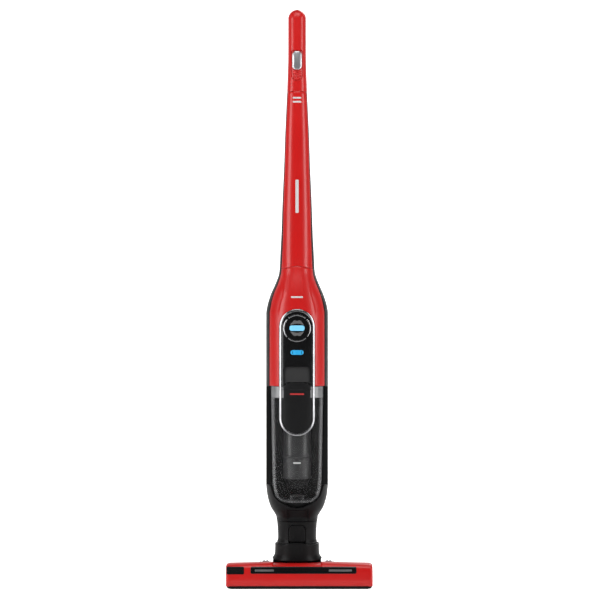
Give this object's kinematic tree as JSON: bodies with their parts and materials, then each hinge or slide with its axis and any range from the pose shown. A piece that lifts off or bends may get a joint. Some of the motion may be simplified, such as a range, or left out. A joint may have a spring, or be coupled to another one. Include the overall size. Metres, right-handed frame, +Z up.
{
  "type": "upright vacuum cleaner",
  "caption": "Cordless upright stick vacuum cleaner in gloss red and black, with a clear dust container, lit display and a wide powered brush nozzle",
  "frame": {"origin": "On the floor, under the middle of the bounding box", "axes": "+Z up, the front faces -Y, +X to the right seen from the front"},
  "size_m": [0.29, 0.1822, 1.16],
  "materials": {
    "red_gloss": "moulded, high gloss",
    "black_satin": "fine satin texture",
    "black_gloss": "polished",
    "charcoal": "fine matte texture",
    "smoked_clear": "transparent smoked plastic",
    "grey_plastic": "satin translucent grey",
    "trim_chrome": "bright plated trim",
    "switch_silver": "polished silver",
    "light_blue": "lit window",
    "steel": "turned",
    "rubber": "matte",
    "filter_paper": "pleated paper and foam",
    "circuit_board": "board laminate",
    "bristle": "nylon bristle rows",
    "white_plastic": "moulded",
    "motor_metal": "drawn can"
  },
  "bodies": {
    "nozzle": {"nozzle_cover": "red_gloss", "sole_plate": "black_satin", "brush_tunnel": "black_satin", "suction_duct": "black_satin", "nozzle_label": "black_gloss", "brush_motor": "motor_metal", "drive_belt": "rubber", "wheel_axle_left": "steel", "wheel_axle_right": "steel", "pivot_pin_left": "steel", "pivot_pin_right": "steel"},
    "brush_lock": {"brush_latch": "black_satin"},
    "brush_carrier": {"brush_end_cap": "black_satin"},
    "brush": {"brush_roller": "bristle"},
    "pulley": {"brush_pulley": "charcoal"},
    "pinion": {"motor_pinion": "steel"},
    "left_wheel": {"wheel_left": "rubber"},
    "right_wheel": {"wheel_right": "rubber"},
    "collar": {"tilt_collar": "black_satin"},
    "swivel_neck": {"neck": "black_satin"},
    "neck_key": {"release_key": "black_satin"},
    "stick": {"container_cradle": "black_satin", "rear_shell": "black_satin", "front_housing": "red_gloss", "handle_front_shell": "red_gloss", "handle_rear_shell": "black_satin", "grip_front_shell": "red_gloss", "grip_rear_shell": "black_satin", "switch_track": "red_gloss", "exhaust_grille": "charcoal", "charging_socket": "charcoal", "shell_screw_1": "steel", "shell_screw_2": "steel", "shell_screw_3": "steel", "shell_screw_4": "steel", "upper_trim_band": "trim_chrome", "display_panel": "black_gloss", "finger_cup": "black_gloss", "display_ring": "trim_chrome", "run_light_lens": "light_blue", "battery_light_lens": "light_blue", "inner_chassis": "black_satin", "suction_motor": "motor_metal", "motor_mount": "rubber", "battery_pack": "charcoal", "exhaust_filter": "filter_paper", "control_board": "circuit_board", "switch_board": "circuit_board"},
    "switch": {"power_switch": "switch_silver"},
    "fan": {"motor_fan": "white_plastic"},
    "container": {"dust_container": "smoked_clear", "container_rim": "grey_plastic", "container_cover": "charcoal", "lower_trim_band": "trim_chrome", "filter_housing": "black_gloss", "pleated_filter": "filter_paper", "mesh_screen": "charcoal", "cyclone_cone": "black_satin"},
    "latch": {"container_latch": "charcoal"},
    "flap": {"inlet_flap": "rubber"}
  },
  "joints": [
    {"name": "handle_tilt", "type": "hinge", "parent": "nozzle", "child": "collar", "pos_m": [-0.0045, 0.004, 0.028], "axis": [-1, 0, 0], "range_deg": [0, 70]},
    {"name": "neck_swivel", "type": "hinge", "parent": "collar", "child": "swivel_neck", "pos_m": [-0.0045, 0, 0.0797], "axis": [0, 0, 1], "range_deg": [-45, 45]},
    {"name": "stick_lift_off", "type": "slide", "parent": "swivel_neck", "child": "stick", "axis": [0, 0, 1], "range_m": [0, 0.06]},
    {"name": "neck_key_press", "type": "slide", "parent": "swivel_neck", "child": "neck_key", "axis": [0, 1, 0], "range_m": [0, 0.003], "stiffness_N_per_m": 500},
    {"name": "power_slide", "type": "slide", "parent": "stick", "child": "switch", "axis": [0, -0.0741, -0.9972], "range_m": [0, 0.018]},
    {"name": "fan_spin", "type": "hinge", "parent": "stick", "child": "fan", "pos_m": [-0.0045, 0.01, 0.4085], "axis": [0, 0, 1], "continuous": true},
    {"name": "container_slide", "type": "slide", "parent": "stick", "child": "container", "axis": [0, -1, 0], "range_m": [0, 0.16]},
    {"name": "latch_press", "type": "slide", "parent": "container", "child": "latch", "axis": [0, 1, 0], "range_m": [0, 0.0015], "stiffness_N_per_m": 500},
    {"name": "inlet_flap_hinge", "type": "hinge", "parent": "container", "child": "flap", "pos_m": [-0.0045, -0.0042, 0.178], "axis": [-1, 0, 0], "range_deg": [0, 25]},
    {"name": "brush_slide_out", "type": "slide", "parent": "nozzle", "child": "brush_carrier", "axis": [-1, 0, 0], "range_m": [0, 0.27]},
    {"name": "brush_lock_slide", "type": "slide", "parent": "nozzle", "child": "brush_lock", "axis": [1, 0, 0], "range_m": [0, 0.004]},
    {"name": "brush_spin", "type": "hinge", "parent": "brush_carrier", "child": "brush", "pos_m": [0, -0.06, 0.021], "axis": [1, 0, 0], "continuous": true},
    {"name": "pulley_spin", "type": "hinge", "parent": "nozzle", "child": "pulley", "pos_m": [0.1235, -0.06, 0.021], "axis": [1, 0, 0], "continuous": true},
    {"name": "pinion_spin", "type": "hinge", "parent": "nozzle", "child": "pinion", "pos_m": [0.1235, -0.006, 0.024], "axis": [1, 0, 0], "continuous": true},
    {"name": "left_wheel_spin", "type": "hinge", "parent": "nozzle", "child": "left_wheel", "pos_m": [-0.0695, 0.0751, 0.016], "axis": [1, 0, 0], "continuous": true},
    {"name": "right_wheel_spin", "type": "hinge", "parent": "nozzle", "child": "right_wheel", "pos_m": [0.0605, 0.0751, 0.016], "axis": [1, 0, 0], "continuous": true}
  ],
  "couplings": [
    {"joint": "pulley_spin", "follows": "brush_spin", "ratio": 1},
    {"joint": "pinion_spin", "follows": "brush_spin", "ratio": 2}
  ]
}
